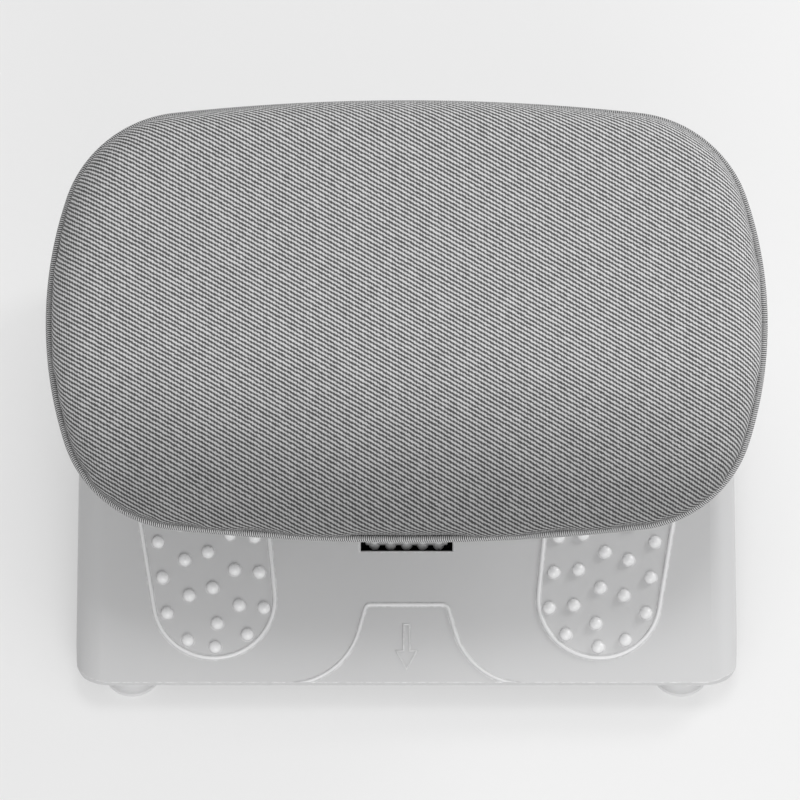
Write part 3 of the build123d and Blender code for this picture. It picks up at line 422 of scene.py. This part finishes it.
# Painted highlight: the raised nubs and ribs are painted paler than the wedge round them.
highlighted = blend_colour(top_tree, proud, plain_colour, shade(SHELL_GREY, HIGHLIGHT_PALER))
wire(top_tree, highlighted, top_shader.inputs["Base Color"])
smoother = maths(top_tree, "MULTIPLY", proud, POLISH)
wire(top_tree, maths(top_tree, "SUBTRACT", plain_rough, smoother), top_shader.inputs["Roughness"])
nodes["base_shell"].data.materials[0] = highlighted_wedge
print("top polished above", round(TOP_LEVEL / MM, 2), "mm along its normal")

# %% [markdown]
# ## Outline of the pad
# Seen square on, the pad is eight arcs that run into each other: a long shallow bow at the
# front and rear, a rounder one at each side and four tight corners. Walking along the arcs by
# length spaces the points evenly, which a plain angle wouldn't. Every soft piece below uses
# this one walk, moved in or out, so cover and piping keep together.

# %% Arcs of the pad's outline
PAD_HALF = Vector((215.0, 134.5))
FRONT_BOW, SIDE_BOW, CORNER_BOW = 1260.0, 243.0, 76.0
PIN = Vector((0, 0.030, 0.133))
PAD_TILT = math.radians(18)
PAD_FRAME = Matrix.Translation(PIN) @ Matrix.Rotation(PAD_TILT, 4, "X")

long_centre = Vector((0, PAD_HALF.y - FRONT_BOW))
side_centre = Vector((PAD_HALF.x - SIDE_BOW, 0))
meeting = intersect_sphere_sphere_2d(long_centre, FRONT_BOW - CORNER_BOW,
                                     side_centre, SIDE_BOW - CORNER_BOW)
corner_centre = max(meeting, key=lambda point: point.x + point.y)
side_turn = math.atan2(corner_centre.y - side_centre.y, corner_centre.x - side_centre.x)
front_turn = math.atan2(corner_centre.y - long_centre.y, corner_centre.x - long_centre.x)
QUARTER_ARCS = ((side_centre, SIDE_BOW, 0.0, side_turn),
                (corner_centre, CORNER_BOW, side_turn, front_turn),
                (long_centre, FRONT_BOW, front_turn, math.pi / 2))
QUARTER_LENGTH = sum(radius * (end - start) for _, radius, start, end in QUARTER_ARCS)
print("outline length", round(4 * QUARTER_LENGTH), "mm")

# %% Walk round the outline
def quarter_point(length, inset):
    """Point on the right rear quarter, a length from the middle of the side."""
    for centre, radius, start, end in QUARTER_ARCS:
        arc = radius * (end - start)
        if length <= arc or radius == FRONT_BOW:
            angle = start + length / radius
            return centre + (radius - inset) * Vector((math.cos(angle), math.sin(angle)))
        length -= arc


def outline_point(share, inset):
    """Point at a share of the whole way round, moved inwards by inset, in millimetres."""
    quarter, along = divmod(share % 1.0 * 4, 1)
    forward = quarter in (0, 2)
    point = quarter_point(QUARTER_LENGTH * (along if forward else 1 - along), inset)
    return Vector((point.x if quarter in (0, 3) else -point.x, point.y if quarter < 2 else -point.y))


def pad_ring(bm, count, inset, height, share=1.0):
    """A ring of vertices round the pad; height is a number or a rule of the point."""
    ring = bmesh.ops.create_circle(bm, segments=count, radius=1.0)["verts"]
    for step, vert in enumerate(ring):
        point = outline_point(step / count, inset) * share
        vert.co = (point.x, point.y, height(point) if callable(height) else height)
    return list({edge for vert in ring for edge in vert.link_edges})


print("half width and depth", round(outline_point(0, 0).x, 1), round(outline_point(0.25, 0).y, 1), "mm")

# %% [markdown]
# ## Stuffed cover
# The pad is a firm foam block in a woven cover: level at the rear, falling away at the front,
# with a rounded shoulder and sides that draw in to the seam. Rings bridged into a skin give
# that form. A cloth simulation with air pressure then swells it by about a millimetre, for
# the even tautness that hand-placed points never have.

# %% Form of the cover before it swells
SEAM_HEIGHT = 35.1
SUMMIT = 68.1
COVER_INSET, CROWN = 0.4, 8.0
SIDE_CROWN = ((PAD_HALF.x - COVER_INSET) ** 2 + CROWN ** 2) / (2 * CROWN)
FALL_START, FRONT_FALL = 10.0, 12.0
FALL_BOW = ((PAD_HALF.y - FALL_START) ** 2 + FRONT_FALL ** 2) / (2 * FRONT_FALL)
SHOULDER = 21.0
SHOULDER_STEPS = 6
SEAM_TUCK = 5.0
SKIRT_RISE, SKIRT_LEAN = 5.5, 0.2
TOP_SHARES = (0.9, 0.75, 0.6, 0.45, 0.3, 0.15, 0.04)
COVER_RING = 280


def crown_height(point):
    """Height of the pad's top over a point, in millimetres above the hinge pin."""
    ahead = max(0.0, -point.y - FALL_START)
    return SUMMIT - point.x ** 2 / (2 * SIDE_CROWN) - ahead ** 2 / (2 * FALL_BOW)


def below_crown(drop):
    return lambda point: crown_height(point) - drop


cover_bm = bmesh.new()
loops = [pad_ring(cover_bm, COVER_RING, SEAM_TUCK, SEAM_HEIGHT),
         pad_ring(cover_bm, COVER_RING, COVER_INSET + SKIRT_LEAN, SEAM_HEIGHT + SKIRT_RISE)]
for step in range(SHOULDER_STEPS + 1):
    turn = math.radians(90 * step / SHOULDER_STEPS)
    inset = COVER_INSET + SHOULDER * (1 - math.cos(turn))
    loops.append(pad_ring(cover_bm, COVER_RING, inset, below_crown(SHOULDER * (1 - math.sin(turn)))))
for share in TOP_SHARES:
    loops.append(pad_ring(cover_bm, COVER_RING, COVER_INSET + SHOULDER, crown_height, share))
for lower, upper in zip(loops, loops[1:]):
    bmesh.ops.bridge_loops(cover_bm, edges=lower + upper)
bmesh.ops.holes_fill(cover_bm, edges=[edge for edge in cover_bm.edges if edge.is_boundary], sides=0)
bmesh.ops.recalc_face_normals(cover_bm, faces=cover_bm.faces)
cover = finish_mesh("woven_cover", cover_bm)
print("cover before swelling", len(cover.data.polygons), "faces")

# %% [markdown]
# ## Swelling
# Remeshing gives the cloth even squares to stretch. The rows by the seam are pinned, as the
# staples hold the real cover to its board. Points may move only a few millimetres, which
# keeps the pad in the space that its CAD solid holds.

# %% Helpers for the soft skin
def apply_modifiers(piece):
    """Keep the mesh that the modifiers make, and drop the modifiers."""
    made = bpy.data.meshes.new_from_object(piece.evaluated_get(bpy.context.evaluated_depsgraph_get()))
    piece.modifiers.clear()
    piece.data = made


def soften(piece, rounds, share, keep_below):
    """Even out small waves above a height and leave the seam alone."""
    bm = bmesh.new()
    bm.from_mesh(piece.data)
    free = [vert for vert in bm.verts if vert.co.z > keep_below]
    for _ in range(rounds):
        bmesh.ops.smooth_vert(bm, verts=free, factor=share,
                              use_axis_x=True, use_axis_y=True, use_axis_z=True)
    bm.to_mesh(piece.data)
    bm.free()


def even_out(piece, moved, rounds):
    """Share each point's movement with its neighbours, as foam does under a taut cover."""
    ends = np.array([edge.vertices[:] for edge in piece.data.edges])
    links = np.bincount(ends.ravel(), minlength=len(moved))[:, None]
    for _ in range(rounds):
        shared = np.zeros_like(moved)
        np.add.at(shared, ends[:, 0], moved[ends[:, 1]])
        np.add.at(shared, ends[:, 1], moved[ends[:, 0]])
        moved = (moved + shared / links) / 2
    return moved


print("skin helpers ready")

# %% Cloth under pressure
PINNED_BELOW = SEAM_HEIGHT + 3.0
MOVE_CAP = 6.0
FOAM_GRIP = 0.1
CREASE_ROUNDS = 60
SWELL_FRAMES = 20


def swell(piece):
    """Blow the cover up a little as cloth, with its seam pinned, and cap the movement."""
    start = np.array([vert.co for vert in piece.data.vertices])
    seam = piece.vertex_groups.new(name="seam")
    seam.add(range(len(start)), FOAM_GRIP, "REPLACE")
    seam.add([int(i) for i in np.flatnonzero(start[:, 2] < PINNED_BELOW)], 1.0, "REPLACE")
    piece.data.transform(Matrix.Scale(MM, 4))
    cloth = piece.modifiers.new("swell", "CLOTH")
    cloth.settings.quality = 6
    cloth.settings.mass = 0.3
    cloth.settings.tension_stiffness = 30
    cloth.settings.compression_stiffness = 5
    cloth.settings.bending_stiffness = 8.0
    cloth.settings.shrink_min = 0.01
    cloth.settings.use_pressure = True
    cloth.settings.uniform_pressure_force = 4.0
    cloth.settings.effector_weights.gravity = 0
    cloth.settings.vertex_group_mass = "seam"
    cloth.collision_settings.use_collision = False
    for number in range(1, SWELL_FRAMES + 1):
        scene.frame_set(number)
    apply_modifiers(piece)
    scene.frame_set(1)
    moved = np.array([vert.co for vert in piece.data.vertices]) / MM - start
    moved = even_out(piece, moved, CREASE_ROUNDS)
    length = np.linalg.norm(moved, axis=1, keepdims=True)
    capped = start + moved * np.minimum(1.0, MOVE_CAP / np.maximum(length, 1e-9))
    piece.data.vertices.foreach_set("co", capped.astype(np.float32).ravel())
    piece.vertex_groups.clear()
    return length.mean(), length.max()


print("pinned below", PINNED_BELOW, "mm")

# %% Swell the cover
VOXEL = 4.0

remesh = cover.modifiers.new("even_squares", "REMESH")
remesh.mode = "VOXEL"
remesh.voxel_size = VOXEL
apply_modifiers(cover)
soften(cover, rounds=6, share=0.5, keep_below=PINNED_BELOW)
print("moved on average and at most", swell(cover))
soften(cover, rounds=4, share=0.5, keep_below=PINNED_BELOW)


def reach(piece):
    """Highest point and half width, front and rear reach of a piece, in millimetres."""
    place = np.array([vert.co for vert in piece.data.vertices])
    return place[:, 2].max(), np.abs(place[:, 0]).max(), place[:, 1].min(), place[:, 1].max()


print("cover swollen", len(cover.data.vertices), "points, reach", reach(cover))

# %% [markdown]
# ## How the weave lies
# The fabric is cut flat and pulled over the edge, so its threads keep their spacing round the
# shoulder instead of being squeezed as a straight projection would. A UV map stores that:
# the place on the pad's plane, pushed outwards by the arc length that the bend uses up, in
# metres and with the pad's middle at 0.5.

# %% UV map of the weave
FLAT_LEAN = 0.3
UV_MIDDLE = 0.5


def lay_weave(piece):
    mesh = piece.data
    count = len(mesh.vertices)
    place = np.zeros(count * 3, np.float32)
    mesh.vertices.foreach_get("co", place)
    place = place.reshape(-1, 3)
    normal = np.zeros(count * 3, np.float32)
    mesh.vertices.foreach_get("normal", normal)
    normal = normal.reshape(-1, 3)
    lean = np.arccos(np.clip(normal[:, 2], -1, 1))
    bend = np.minimum(lean, math.pi / 2)
    spent = SHOULDER * (bend - np.sin(bend)) * (bend > FLAT_LEAN)
    below = np.array([crown_height(Vector(p)) for p in place]) - place[:, 2]
    spent += np.maximum(0.0, below - SHOULDER)
    outward = normal[:, :2] / np.maximum(np.linalg.norm(normal[:, :2], axis=1, keepdims=True), 1e-6)
    flat = place[:, :2] + outward * spent[:, None]
    corners = np.zeros(len(mesh.loops), np.int32)
    mesh.loops.foreach_get("vertex_index", corners)
    layer = mesh.uv_layers.new(name="weave")
    layer.uv.foreach_set("vector", (flat[corners] * MM + UV_MIDDLE).astype(np.float32).ravel())
    return flat.min(axis=0), flat.max(axis=0)


print("cloth spans", lay_weave(cover), "mm")
cover.data.transform(PAD_FRAME @ Matrix.Scale(MM, 4))
cover.data.polygons.foreach_set("use_smooth", [True] * len(cover.data.polygons))
smooth_cover = cover.modifiers.new("smooth", "SUBSURF")
smooth_cover.levels = smooth_cover.render_levels = 1
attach(cover, "pad")
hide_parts("cushion_cover", "cushion_foam")

# %% [markdown]
# ## Twill
# Up close the cover is a coarse twill: pale ribs that run down to the right, broken into
# short stitches, with dark gaps between. A picture of cloth would repeat and blur.
# Two waves on slanted axes make the ribs and the stitches, a slow noise bends them as a loom
# does, and a finer one gives every stitch its own tone.

# %% Ribs and stitches
RIB_RISE = 2.72
STITCH_RUN = 1.81
RIB_SLANT = 0.58
RIB_SHARE, STITCH_SHARE = 0.84, 0.28

twill_group, t_in, t_out = new_group(
    "twill_weave",
    [("Vector", "NodeSocketVector", None), ("Wander", "NodeSocketFloat", 0.55)],
    [("Tone", "NodeSocketFloat"), ("Height", "NodeSocketFloat")])


def wave(tree, phase):
    """A wave from 0 to 1 that repeats with every whole step of the phase."""
    swing = maths(tree, "COSINE", maths(tree, "MULTIPLY", phase, 2 * math.pi))
    return maths(tree, "MULTIPLY_ADD", swing, 0.5, 0.5)


cloth_mm = twill_group.nodes.new("ShaderNodeVectorMath")
cloth_mm.operation = "SCALE"
cloth_mm.inputs["Scale"].default_value = 1 / MM
wire(twill_group, t_in[0], cloth_mm.inputs[0])
split = twill_group.nodes.new("ShaderNodeSeparateXYZ")
twill_group.links.new(cloth_mm.outputs[0], split.inputs[0])
bend_x = noise(twill_group, cloth_mm.outputs[0], scale=0.23, detail=1.0)["Fac"]
drift_x = maths(twill_group, "SUBTRACT", bend_x, 0.5)
bend_y = noise(twill_group, cloth_mm.outputs[0], scale=0.31, detail=2.0)["Fac"]
drift_y = maths(twill_group, "SUBTRACT", bend_y, 0.5)
along_x = maths(twill_group, "MULTIPLY_ADD", drift_x, t_in[1], split.outputs["X"])
along_y = maths(twill_group, "MULTIPLY_ADD", drift_y, t_in[1], split.outputs["Y"])
slanted = maths(twill_group, "MULTIPLY_ADD", along_x, RIB_SLANT, along_y)
rib_count = maths(twill_group, "DIVIDE", slanted, RIB_RISE)
stitch_count = maths(twill_group, "DIVIDE", along_x, STITCH_RUN)
rib = wave(twill_group, rib_count)
stitch = wave(twill_group, stitch_count)
rib_and_stitch = maths(twill_group, "MULTIPLY_ADD", stitch, STITCH_SHARE,
                       maths(twill_group, "MULTIPLY", rib, RIB_SHARE))
print("ribs every", RIB_RISE, "mm and stitches every", STITCH_RUN, "mm")

# %% Tone of each stitch
OWN_TONE, FUZZ = 0.16, 0.5

one_stitch = twill_group.nodes.new("ShaderNodeCombineXYZ")
wire(twill_group, maths(twill_group, "ROUND", stitch_count), one_stitch.inputs["X"])
wire(twill_group, maths(twill_group, "ROUND", rib_count), one_stitch.inputs["Y"])
own_tone = twill_group.nodes.new("ShaderNodeTexWhiteNoise")
own_tone.noise_dimensions = "2D"
twill_group.links.new(one_stitch.outputs[0], own_tone.inputs["Vector"])
off_tone = maths(twill_group, "SUBTRACT", own_tone.outputs["Value"], 0.5)
toned = maths(twill_group, "MULTIPLY_ADD", off_tone, OWN_TONE, rib_and_stitch)
fuzz = noise(twill_group, cloth_mm.outputs[0], scale=1.3, detail=2.0, roughness=0.6)["Fac"]
fuzzy = maths(twill_group, "MULTIPLY_ADD", maths(twill_group, "SUBTRACT", fuzz, 0.5), FUZZ, toned)
wire(twill_group, between(twill_group, fuzzy, low=0.15, high=1.0), t_out[0])
wire(twill_group, between(twill_group, rib_and_stitch, low=0.0, high=1.1), t_out[1])
print("twill ready")

# %% [markdown]
# ## Fabric of the cover
# The cover is matte with a faint sheen where it turns away, as brushed yarn has. The tone of
# the weave picks between a dark gap and a pale yarn, and its height feeds the bump, so the
# ribs catch the light. Towards the front of the pad the colour is darkened as painted shade,
# where the curved front turns away from the light.

# %% Finish of the cover
# UV rows where the painted shade along the front of the pad starts and where it is full.
PAINTED_SHADE_START, PAINTED_SHADE_FULL = 0.505, 0.370
RAGGED_EDGE = 0.03


def woven_finish(name, dark, mid, pale, bump, wander, painted_shade):
    material = bpy.data.materials.new(name)
    material.use_nodes = True
    tree = material.node_tree
    shader = tree.nodes["Principled BSDF"]
    shader.inputs["Roughness"].default_value = 0.9
    shader.inputs["Specular IOR Level"].default_value = 0.15
    shader.inputs["Sheen Weight"].default_value = 0.05
    shader.inputs["Sheen Roughness"].default_value = 0.5
    uv = tree.nodes.new("ShaderNodeUVMap")
    uv.uv_map = "weave"
    tone, height = place_group(tree, twill_group, uv.outputs[0], wander)
    ramp = tree.nodes.new("ShaderNodeValToRGB")
    ramp.color_ramp.elements[0].color = grey(dark) + (1,)
    ramp.color_ramp.elements[1].color = grey(pale) + (1,)
    ramp.color_ramp.elements.new(0.5).color = grey(mid) + (1,)
    tree.links.new(tone, ramp.inputs[0])
    # Painted shade: the colour is darkened in a band along the front of the pad, with a ragged start.
    across = tree.nodes.new("ShaderNodeSeparateXYZ")
    tree.links.new(uv.outputs[0], across.inputs[0])
    mottle = noise(tree, uv.outputs[0], scale=30.0, detail=3.0, roughness=0.6)["Fac"]
    depth = maths(tree, "MULTIPLY_ADD", mottle, RAGGED_EDGE, across.outputs["Y"])
    painted_shade_mask = between(tree, depth, PAINTED_SHADE_START, PAINTED_SHADE_FULL)
    painted_shade_node = tree.nodes.new("ShaderNodeVectorMath")
    painted_shade_node.operation = "SCALE"
    tree.links.new(ramp.outputs[0], painted_shade_node.inputs[0])
    tree.links.new(maths(tree, "MULTIPLY_ADD", painted_shade_mask, -painted_shade, 1.0), painted_shade_node.inputs["Scale"])
    tree.links.new(painted_shade_node.outputs[0], shader.inputs["Base Color"])
    relief = tree.nodes.new("ShaderNodeBump")
    relief.inputs["Strength"].default_value = bump
    relief.inputs["Distance"].default_value = 0.0006
    tree.links.new(height, relief.inputs["Height"])
    tree.links.new(relief.outputs[0], shader.inputs["Normal"])
    return material


cover.data.materials.clear()
# painted_shade darkens the front of the pad by up to 45 percent.
cover.data.materials.append(
    woven_finish("cover_twill", dark=0.085, mid=0.34, pale=0.70, bump=0.7, wander=0.8, painted_shade=0.45))
print("cover dressed")

# %% [markdown]
# ## Piping
# A bound cord runs round the seam. Its binding is wound on the slant, so the edge looks
# finely serrated. The cord is ten rings bridged into a tube. Its own UV map measures along
# and across it, so the binding's stripes keep one width on every corner.

# %% Piping
PIPING_RADIUS = 2.2
PIPING_HEIGHT = 34.6
PIPING_STEPS = 720
PIPING_SIDES = 10

piping_bm = bmesh.new()
piping_rings = []
for side in range(PIPING_SIDES):
    turn = 2 * math.pi * side / PIPING_SIDES
    piping_rings.append(pad_ring(piping_bm, PIPING_STEPS, PIPING_RADIUS * (1 + math.cos(turn)),
                                 PIPING_HEIGHT + PIPING_RADIUS * math.sin(turn)))
for lower, upper in zip(piping_rings, piping_rings[1:] + piping_rings[:1]):
    bmesh.ops.bridge_loops(piping_bm, edges=lower + upper)
bmesh.ops.recalc_face_normals(piping_bm, faces=piping_bm.faces)
piping = finish_mesh("edge_binding", piping_bm)
print("piping", len(piping.data.polygons), "faces")

# %% UV map of the piping
piping_layer = piping.data.uv_layers.new(name="weave")
ROUND_LENGTH = 4 * QUARTER_LENGTH * MM
for polygon in piping.data.polygons:
    first = polygon.vertices[0] % PIPING_STEPS
    for loop in polygon.loop_indices:
        index = piping.data.loops[loop].vertex_index
        side, step = divmod(index, PIPING_STEPS)
        if step - first > PIPING_STEPS / 2:
            step -= PIPING_STEPS
        elif first - step > PIPING_STEPS / 2:
            step += PIPING_STEPS
        around = math.sin(2 * math.pi * side / PIPING_SIDES)
        piping_layer.uv[loop].vector = (step / PIPING_STEPS * ROUND_LENGTH, around * PIPING_RADIUS * MM)
print("piping runs", round(ROUND_LENGTH, 3), "m round the pad")

# %% Finish of the piping
WRAP_PITCH, WRAP_SLANT = 1.25, 0.45
WRAP_DARK, WRAP_PALE = 0.05, 0.62
LINT = 0.6

binding = bpy.data.materials.new("piping_twill")
binding.use_nodes = True
bind = binding.node_tree
bind_shader = bind.nodes["Principled BSDF"]
bind_shader.inputs["Roughness"].default_value = 0.9
bind_shader.inputs["Sheen Weight"].default_value = 0.1
bind_uv = bind.nodes.new("ShaderNodeUVMap")
bind_uv.uv_map = "weave"
bind_mm = bind.nodes.new("ShaderNodeVectorMath")
bind_mm.operation = "SCALE"
bind_mm.inputs["Scale"].default_value = 1 / MM
bind.links.new(bind_uv.outputs[0], bind_mm.inputs[0])
bind_xy = bind.nodes.new("ShaderNodeSeparateXYZ")
bind.links.new(bind_mm.outputs[0], bind_xy.inputs[0])
wound = maths(bind, "MULTIPLY_ADD", bind_xy.outputs["Y"], WRAP_SLANT, bind_xy.outputs["X"])
turns = wave(bind, maths(bind, "DIVIDE", wound, WRAP_PITCH))
lint = noise(bind, bind_mm.outputs[0], scale=0.8, detail=3.0)["Fac"]
bind_tone = maths(bind, "MULTIPLY_ADD", maths(bind, "SUBTRACT", lint, 0.5), LINT, turns)
stripe = between(bind, bind_tone, low=0.1, high=0.9)
wrapped = blend_colour(bind, stripe, grey(WRAP_DARK) + (1,), grey(WRAP_PALE) + (1,))
bind.links.new(wrapped, bind_shader.inputs["Base Color"])
bind_relief = bind.nodes.new("ShaderNodeBump")
bind_relief.inputs["Strength"].default_value = 0.6
bind_relief.inputs["Distance"].default_value = 0.0004
bind.links.new(turns, bind_relief.inputs["Height"])
bind.links.new(bind_relief.outputs[0], bind_shader.inputs["Normal"])

piping.data.materials.append(binding)
piping.data.transform(PAD_FRAME @ Matrix.Scale(MM, 4))
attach(piping, "pad")
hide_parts("edge_piping")
print("piping dressed")

# %% [markdown]
# ## Raised arrow
# A small outlined arrow on the front of the base points towards the user. It is a thin raised
# bead of the same plastic, so it is made as a flat arrow, inset to leave only its rim, lifted and
# bevelled. A sunk line would catch the light on the wrong side.

# %% Arrow
SLOPE_FRAME = Matrix.Translation(FRONT_EDGE) @ Matrix.Rotation(TOP_SLOPE, 4, "X")
SHAFT_HALF, HEAD_HALF = 2.35, 7.05
ARROW_TOP, ARROW_NECK, ARROW_TIP = 36.8, 20.2, 7.8
BEAD_WIDTH, BEAD_HEIGHT, BEAD_SINK, BEAD_ROUND = 0.95, 0.55, 0.15, 0.3

arrow_bm = bmesh.new()
corners = [(-SHAFT_HALF, ARROW_TOP), (-SHAFT_HALF, ARROW_NECK), (-HEAD_HALF, ARROW_NECK), (0, ARROW_TIP),
           (HEAD_HALF, ARROW_NECK), (SHAFT_HALF, ARROW_NECK), (SHAFT_HALF, ARROW_TOP)]
blade = arrow_bm.faces.new([arrow_bm.verts.new((x, y, -BEAD_SINK)) for x, y in corners])
arrow_bm.normal_update()
rim = bmesh.ops.inset_region(arrow_bm, faces=[blade], thickness=BEAD_WIDTH, use_boundary=True,
                              use_even_offset=True)["faces"]
bmesh.ops.delete(arrow_bm, geom=[face for face in arrow_bm.faces if face not in rim], context="FACES")
lifted = bmesh.ops.extrude_face_region(arrow_bm, geom=arrow_bm.faces[:])["geom"]
crest = [item for item in lifted if isinstance(item, bmesh.types.BMVert)]
bmesh.ops.translate(arrow_bm, verts=crest, vec=(0, 0, BEAD_HEIGHT + BEAD_SINK))
bmesh.ops.recalc_face_normals(arrow_bm, faces=arrow_bm.faces)
arrow_bm.normal_update()
top_edges = [edge for edge in arrow_bm.edges if all(vert in crest for vert in edge.verts)
             and len({round(face.normal.z) for face in edge.link_faces}) > 1]
bmesh.ops.bevel(arrow_bm, geom=top_edges, offset=BEAD_ROUND, affect="EDGES", segments=3, profile=0.5,
                material=-1)
arrow = finish_mesh("front_arrow", arrow_bm)
arrow.data.transform(SLOPE_FRAME @ Matrix.Scale(MM, 4))
arrow.data.materials.append(finishes["shell_plastic"])
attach(arrow, "base")
print("arrow", len(arrow.data.polygons), "faces")
